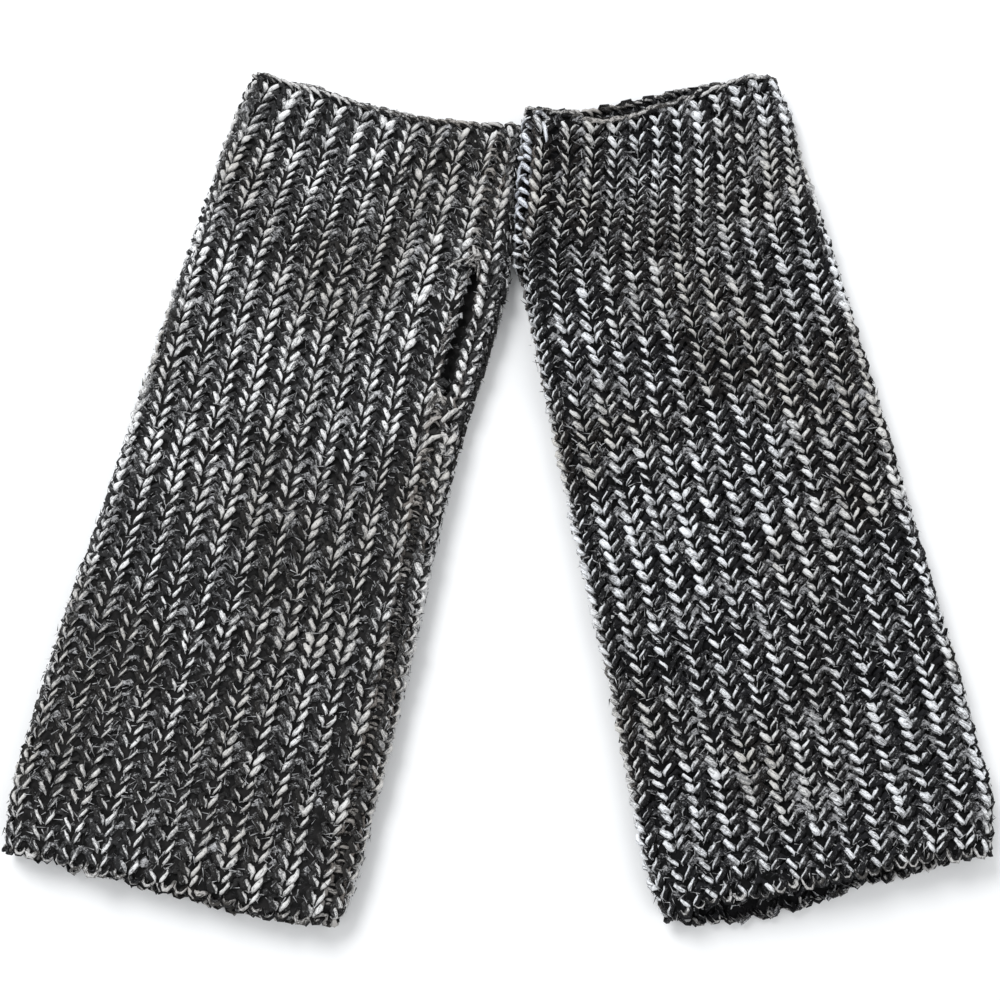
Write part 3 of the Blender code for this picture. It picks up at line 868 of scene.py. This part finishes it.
def make_seam(warmer, cloth, materials, name, rows_from, rows_to, stitch, per_row, bulge, stray):
    """The sewn stitches of one seam. stray says how uneven they are."""
    count = int((rows_to - rows_from) * per_row)
    unevenness = {measure: amount * stray for measure, amount in SEAM_UNEVEN.items()}
    piece = Piece(warmer, cloth, name, count, unevenness)
    across, up, depth, thick, turn = np.array(stitch).T
    number = np.arange(count)[:, None]
    side = np.where((number % 2 == 1) | (stitch is not SEAM_CURL), 1, -1)
    reach = side * across * (1 + piece.uneven("reach"))
    ribs = seam_rib(warmer.seam_shift + reach + piece.uneven("across"))
    lean = up * (1 + piece.uneven("lean"))
    rows = rows_from + (number + 0.5) / per_row + lean + piece.uneven("up")
    bulge = bulge + SEAM_BULGE * fold_bulge(warmer, rows, np.mod(ribs, RIBS))
    depths = depth - bulge + piece.uneven("depth")
    turn = turn + piece.uneven("turn")
    thick = thick * (1 + piece.uneven("thick"))
    offset = piece.offsets(count)
    light = thick * (SEAM_LIGHT + piece.uneven("light"))
    piece.add_yarns(rows, ribs, depths, turn, offset, (light, thick))
    return piece.make(materials)


def make_end_loops(warmer, cloth, materials):
    """The loops at both ends of every course."""
    piece = Piece(warmer, cloth, "end_loops", ROWS, END_UNEVEN)
    inward, up, depth, thick, turn = np.array(END_LOOP).T
    row = np.arange(ROWS)[:, None]
    for start, sign in ((0, 1), (RIBS, -1)):
        tucked = (start == 0) & (row > SLIT_LOW) & (row < SLIT_HIGH)
        size = 1 + piece.uneven("size")
        ribs = start + sign * (inward * size + piece.uneven("rib"))
        rows = row + ROW_OFFSET + up * size + piece.uneven("up")
        depths = depth + piece.uneven("depth") - fold_bulge(warmer, rows, ribs)
        depths = np.where(tucked, np.maximum(depths, TUCKED_LOOP_DEPTH), depths)
        turns = turn + piece.uneven("turn")
        thicks = thick * (1 + piece.uneven("thick"))
        piece.add_yarns(rows, ribs, depths, turns, piece.offsets(ROWS), (thicks, thicks))
    return piece.make(materials)


def make_strands(warmer, cloth, materials):
    """The loose strands beside the seam."""
    piece = Piece(warmer, cloth, "loose_strands")
    share, depth, thick = np.array(STRAND_ARC).T
    first_mm, first_row, last_mm, last_row, bow, size, turn, grey = np.array(warmer.strands).T[..., None]
    ribs = seam_rib(first_mm + (last_mm - first_mm) * share)
    rows = first_row + (last_row - first_row) * share + bow * np.sin(math.pi * share)
    depths = depth - fold_bulge(warmer, rows, np.mod(ribs, RIBS))
    turn = turn + STRAND_TWIST * (share - 0.5)
    thick = thick * size
    offset = piece.offsets(len(rows))
    piece.add_yarns(rows, ribs, depths, turn, offset, (thick, thick), purl=grey > 0)
    return piece.make(materials)


def make_fuzz(warmer, cloth, materials):
    """Stray fibres, each a closed spike with its foot in the yarn."""
    random = new_random(warmer, "fuzz")
    count = warmer.fibres
    rows = random.uniform(0, ROWS, count)
    ribs = random.uniform(0, RIBS, count)
    depths = random.uniform(*FIBRE_DEPTHS, count) - fold_bulge(warmer, rows, ribs)
    foot, outward = cloth.at(rows, ribs, depths)
    ahead, _ = cloth.at(rows + WALE_STEP, ribs, WALE_DEPTH)
    behind, _ = cloth.at(rows - WALE_STEP, ribs, WALE_DEPTH)
    wale = unit(ahead - behind)
    course = np.cross(outward, wale)
    heading = random.uniform(0, 2 * math.pi, count)[:, None]
    flat = np.cos(heading) * wale + np.sin(heading) * course
    direction = unit(flat + outward * random.uniform(0, FIBRE_OUTWARD, (count, 1)))
    tip = foot + direction * random.uniform(*FIBRE_LENGTHS, (count, 1))
    width = random.uniform(*FIBRE_WIDTHS, (count, 1))
    side = unit(np.cross(direction, outward)) * width / 2
    corners = (foot + side, foot - side, foot + outward * width, tip)
    points = above_floor(np.stack(corners, 1).reshape(-1, 3))
    first = 4 * np.arange(count)[:, None, None]
    faces = (first + np.array(((0, 1, 2), (0, 3, 1), (1, 3, 2), (2, 3, 0)))).reshape(-1, 3)
    which = np.repeat(random.integers(0, 2, count), 4)
    fuzz = add_mesh(warmer.name + "_fuzz", points, faces, materials, which)
    fuzz.data.shade_flat()
    return fuzz


def make_shade_sheet(warmer, cloth, material):
    """A near-black sheet in the middle of the cloth: painted shade that closes the gaps between the loops.
    """
    row_points, rib_points = BASE_POINTS
    rows = np.linspace(-BASE_PAST_EDGE, ROWS + BASE_PAST_EDGE, row_points)[:, None]
    past_end = BASE_UNDER_SEAM * (1 - beside_slit(rows)) + BASE_PAST_END
    ribs = np.linspace(0, 1, rib_points) * (RIBS + 2 * past_end) - past_end
    starts, ends = UNDER_SLIT_SPANS
    under_slit = beside_slit(rows) * through(starts, ribs) * through(ends, ribs)
    depths = BASE_DEPTH + INSIDE_REACH * under_slit - BASE_BULGE * fold_bulge(warmer, rows, ribs)
    points, _ = cloth.at(rows, ribs, depths)
    index = np.arange(points.shape[0] * points.shape[1]).reshape(points.shape[:2])
    quads = np.stack((index[:-1, :-1], index[:-1, 1:], index[1:, 1:], index[1:, :-1]), -1).reshape(-1, 4)
    which = np.zeros(len(quads))
    return add_mesh(warmer.name + "_cloth", points.reshape(-1, 3), quads, [material], which)


# ---- materials

SPECULAR = 0.15
WOOL_ROUGHNESS = 0.9
# A noise's scale, detail and roughness.
FIBRES = (1, 3, 0.65)
PATCHES = (130, 2, 0.6)
SPECKS = (1500, 2, 0.7)
TONES = (22, 2, 0.5)
FIBRES_ROUND = 12  # fibres round a ply
FIBRE_TWIST = 9
FIBRES_ALONG = 4.5
EDGE_POWER = 3
TONE_RANGE = (0.38, 0.6)
MOTTLE = (2, 0.6)  # its noise's detail and roughness
MOTTLE_RANGE = (0.35, 0.65)
BUMP_STRENGTH = 0.8
BUMP_DEPTH = 0.0005
SPECK_BUMP = 0.7

DARK = (0.01, 0.01, 0.011)
BROWN_DARK = (0.012, 0.01, 0.009)
GREY = (0.19, 0.19, 0.193)

# A yarn's wool, its warmer patches, its streaks of the other colour, where they start and end, and
# what the touching plies, the patches and the specks add to them. Where the plies touch, an off-white
# ply's darker streaks are partly the other ply's fibres and partly painted shade in the groove.
YARNS = {
    "light_ply_left": ((1, 1, 1), (0.68, 0.66, 0.63), GREY, 0.41, 0.73, 0.28, 0.6, 0.7),
    # painted light: the right warmer's off-white is tinted a little blue for the cool light on its
    # highlights
    "light_ply_right": ((0.96, 0.975, 1), (0.72, 0.7, 0.66), GREY, 0.4, 0.72, 0.26, 0.5, 0.6),
    # painted light: a bluer off-white for the bluish window light on the right warmer's seam side
    "light_ply_bluish_lit": ((0.96, 0.98, 1), (0.86, 0.89, 0.96), (0.14, 0.145, 0.16), 0.42, 0.72, 0.3, 0.6, 0.8),
    "light_ply_edge": (
        (0.7, 0.69, 0.68), (0.46, 0.43, 0.4), (0.07, 0.066, 0.062), 0.4, 0.66, 0.34, 1.1, 0.9
    ),
    "light_ply_end": (
        (0.26, 0.25, 0.245), (0.2, 0.18, 0.165), (0.04, 0.036, 0.033), 0.38, 0.7, 0.34, 0.9, 0.8
    ),
    "light_ply_seam": (
        (0.46, 0.45, 0.44), (0.33, 0.31, 0.29), (0.03, 0.028, 0.026), 0.36, 0.64, 0.36, 1.3, 1
    ),
    "dark_ply_left": (
        (0.025, 0.025, 0.026), (0.025, 0.0235, 0.022), (0.24, 0.24, 0.242), 0.52, 0.9, 0.15, 0.6, 1
    ),
    "dark_ply_right": (DARK, BROWN_DARK, GREY, 0.52, 0.92, 0.15, 0.5, 1),
    # painted shade: both plies of the purl heads in the furrows take this charcoal-grey, its grey streaks
    # partly the two plies mixed
    "furrow_ply_left": (
        (0.032, 0.032, 0.033), (0.028, 0.027, 0.026), (0.56, 0.56, 0.57), 0.48, 0.88, 0.1, 1.4, 1
    ),
    "furrow_ply_right": (
        (0.015, 0.015, 0.017), (0.014, 0.012, 0.011), (0.48, 0.48, 0.49), 0.47, 0.88, 0.1, 1.4, 1
    ),
}
# Two near colours, the scale of the change between them and the roughness.
MOTTLED = {
    "light_fibre": ((0.3, 0.3, 0.3), (0.62, 0.62, 0.63), 400, 0.9),
    "dark_fibre": ((0.012, 0.012, 0.012), (0.03, 0.03, 0.032), 400, 0.9),
    # painted shade: the near-black sheet in the gaps between the loops, lighter on the left warmer
    "base_cloth_left": ((0.008, 0.008, 0.008), (0.02, 0.019, 0.019), 300, 0.95),
    "base_cloth_right": ((0.003, 0.003, 0.003), (0.009, 0.009, 0.01), 300, 0.95),
    "floor": ((0.93, 0.93, 0.93), (0.95, 0.95, 0.95), 3, 0.9),
}


class Nodes:
    """A new material and its shader nodes."""

    def __init__(self, name, roughness):
        self.material = bpy.data.materials.new(name)
        self.material.use_nodes = True
        self.tree = self.material.node_tree
        self.shader = self.tree.nodes["Principled BSDF"]
        self.put(self.shader.inputs["Roughness"], roughness)
        self.put(self.shader.inputs["Specular IOR Level"], SPECULAR)

    def put(self, socket, value):
        if isinstance(value, bpy.types.NodeSocket):
            self.tree.links.new(value, socket)
        else:
            socket.default_value = value

    def add(self, kind, inputs, output=0, **settings):
        """A new node's output. The names or numbers of its sockets go in inputs."""
        node = self.tree.nodes.new("ShaderNode" + kind)
        for name, value in settings.items():
            setattr(node, name, value)
        for socket, value in inputs.items():
            self.put(node.inputs[socket], value)
        return node.outputs[output]

    def place(self):
        return self.add("TexCoord", {}, "Object")

    def math(self, operation, *values):
        return self.add("Math", dict(enumerate(values)), operation=operation)

    def noise(self, vector, scale, detail, roughness):
        inputs = {"Vector": vector, "Scale": scale, "Detail": detail, "Roughness": roughness}
        return self.add("TexNoise", inputs)

    def ramp(self, value, low, high):
        inputs = {"Value": value, "From Min": low, "From Max": high}
        return self.add("MapRange", inputs, interpolation_type="SMOOTHSTEP")

    def mix(self, factor, first, second):
        """Between two colours, by the sockets that the mix node has for colours."""
        first, second = ((*c, 1) if isinstance(c, tuple) else c for c in (first, second))
        return self.add("Mix", {0: factor, 6: first, 7: second}, 2, data_type="RGBA")


def yarn_material(name, base, warm, streak, low, high, edge_gain, patch_gain, speck_gain):
    """One ply: fibres along the yarn, more of the other ply's fibres where the two touch, and patches.
    On an off-white ply that darkening by the other ply is partly painted shade in the groove between them.
    """
    nodes = Nodes(name, WOOL_ROUGHNESS)
    uv = {"Vector": nodes.add("UVMap", {}, uv_map="yarn")}
    u, v = (nodes.add("SeparateXYZ", uv, axis) for axis in "XY")
    around = nodes.math("MULTIPLY_ADD", u, FIBRES_ROUND, nodes.math("MULTIPLY", v, FIBRE_TWIST))
    along = nodes.math("MULTIPLY", v, FIBRES_ALONG)
    fibres = nodes.noise(nodes.add("CombineXYZ", {"X": around, "Y": along}), *FIBRES)
    # towards the other ply: its fibres, and on an off-white ply also painted shade in the groove
    near_other_ply = nodes.math("ABSOLUTE", nodes.math("MULTIPLY_ADD", u, 2, -1))
    edge = nodes.math("MULTIPLY", nodes.math("POWER", near_other_ply, EDGE_POWER), edge_gain)
    place = nodes.place()
    specks = nodes.noise(place, *SPECKS)
    patch, speck = (
        nodes.math("MULTIPLY", nodes.math("SUBTRACT", noise, 0.5), gain)
        for noise, gain in ((nodes.noise(place, *PATCHES), patch_gain), (specks, speck_gain))
    )
    total = nodes.math("ADD", nodes.math("ADD", fibres, edge), nodes.math("ADD", patch, speck))
    toned = nodes.mix(nodes.ramp(nodes.noise(place, *TONES), *TONE_RANGE), warm, base)
    mixed = nodes.mix(nodes.ramp(total, low, high), toned, streak)
    nodes.put(nodes.shader.inputs["Base Color"], mixed)
    height = nodes.math("ADD", fibres, nodes.math("MULTIPLY", specks, SPECK_BUMP))
    bump = {"Strength": BUMP_STRENGTH, "Distance": BUMP_DEPTH, "Height": height}
    nodes.put(nodes.shader.inputs["Normal"], nodes.add("Bump", bump))
    return nodes.material


def mottled_material(name, first, second, scale, roughness):
    """A soft, uneven colour between two near ones."""
    nodes = Nodes(name, roughness)
    mottle = nodes.noise(nodes.place(), scale, *MOTTLE)
    mixed = nodes.mix(nodes.ramp(mottle, *MOTTLE_RANGE), first, second)
    nodes.put(nodes.shader.inputs["Base Color"], mixed)
    return nodes.material


# ---- floor, lights and camera

FLOOR_SIZE = 6
FLOOR_DROP = 0.0002
SKY = (0.96, 0.98, 1, 1)
SKY_STRENGTH = 0.7
# Each light's place, size, power and colour. All shine at the middle of the pair.
LIGHTS = {
    "window": ((-0.5, 0.6, 1), 0.6, 10.5, (0.97, 0.985, 1)),
    "fill": ((0.7, -0.4, 0.9), 0.8, 2, (1, 1, 1)),
}
CAMERA_AIM = (0, -0.0067, 0.005)
CAMERA_DISTANCE = 0.45
CAMERA_TILT = math.radians(10.2)
PICTURE_WIDTH = 0.31  # at that distance


def make_floor(material):
    bpy.ops.mesh.primitive_plane_add(size=FLOOR_SIZE, location=(0, 0, -FLOOR_DROP))
    floor = bpy.context.object
    floor.name = "floor"
    floor.data.materials.append(material)


def make_light(name, place, size, power, colour):
    light = bpy.data.lights.new(name, "AREA")
    light.shape = "DISK"
    light.size = size
    light.energy = power
    light.color = colour
    obj = add_object(name, light)
    obj.location = place
    obj.rotation_euler = (-Vector(place)).to_track_quat("-Z", "Y").to_euler()


def make_sky():
    world = bpy.data.worlds.new("studio")
    world.use_nodes = True
    background = world.node_tree.nodes["Background"]
    background.inputs["Color"].default_value = SKY
    background.inputs["Strength"].default_value = SKY_STRENGTH
    bpy.context.scene.world = world


def make_camera():
    """Nearly straight above, and tilted a little towards the hand ends."""
    data = bpy.data.cameras.new("camera")
    data.lens = data.sensor_width * CAMERA_DISTANCE / PICTURE_WIDTH
    away = Vector((0, -math.sin(CAMERA_TILT), math.cos(CAMERA_TILT)))
    obj = add_object("camera", data)
    obj.location = Vector(CAMERA_AIM) + CAMERA_DISTANCE * away
    obj.rotation_euler = (CAMERA_TILT, 0, 0)
    bpy.context.scene.camera = obj


# ---- the pair

NODES = ("panel", "hand_edge", "forearm_edge", "hand_seam", "forearm_seam")


def dress(warmer, looks):
    """Makes every piece of one arm warmer, puts each under the root body and hides the CAD parts."""

    def sewn(light):
        return [looks[light], looks["dark_ply_right"]]

    cloth = Cloth(warmer)
    name = warmer.name
    # the third, the furrow's wool, is painted shade on the purl heads
    knit_looks = [looks[f"{ply}_ply_{name}"] for ply in ("light", "dark", "furrow")]
    # a near-black sheet of painted shade in the gaps between the loops
    base = make_shade_sheet(warmer, cloth, looks["base_cloth_" + name])
    rows = make_knit(warmer, cloth, knit_looks)
    edges = [
        make_hand_edge(warmer, cloth, sewn("light_ply_edge")),
        make_forearm_edge(warmer, cloth, sewn("light_ply_edge")),
        make_end_loops(warmer, cloth, sewn("light_ply_end")),
    ]
    hand_looks = sewn(warmer.hand_seam_look)
    seams = [make_seam(warmer, cloth, hand_looks, *seam) for seam in warmer.hand_seams]
    seams.append(make_seam(warmer, cloth, sewn("light_ply_seam"), *FOREARM_SEAM))
    strand_looks = [*sewn(warmer.strand_look), looks["light_ply_edge"]]
    seams.append(make_strands(warmer, cloth, strand_looks))
    fuzz = make_fuzz(warmer, cloth, [looks["light_fibre"], looks["dark_fibre"]])
    slots = {"rib_panel": [base, fuzz, *rows], "knitted_edge": edges, "sewn_seam": seams}
    for slot, pieces in slots.items():
        for piece in pieces:
            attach(piece, "root")
    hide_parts(*[f"{name}_{part}" for part in NODES])


bpy.context.scene.view_settings.view_transform = "Standard"
looks = {name: yarn_material(name, *look) for name, look in YARNS.items()}
looks.update({name: mottled_material(name, *look) for name, look in MOTTLED.items()})
make_camera()
make_sky()
for name, light in LIGHTS.items():
    make_light(name, *light)
make_floor(looks["floor"])
for warmer in (LEFT, RIGHT):
    dress(warmer, looks)
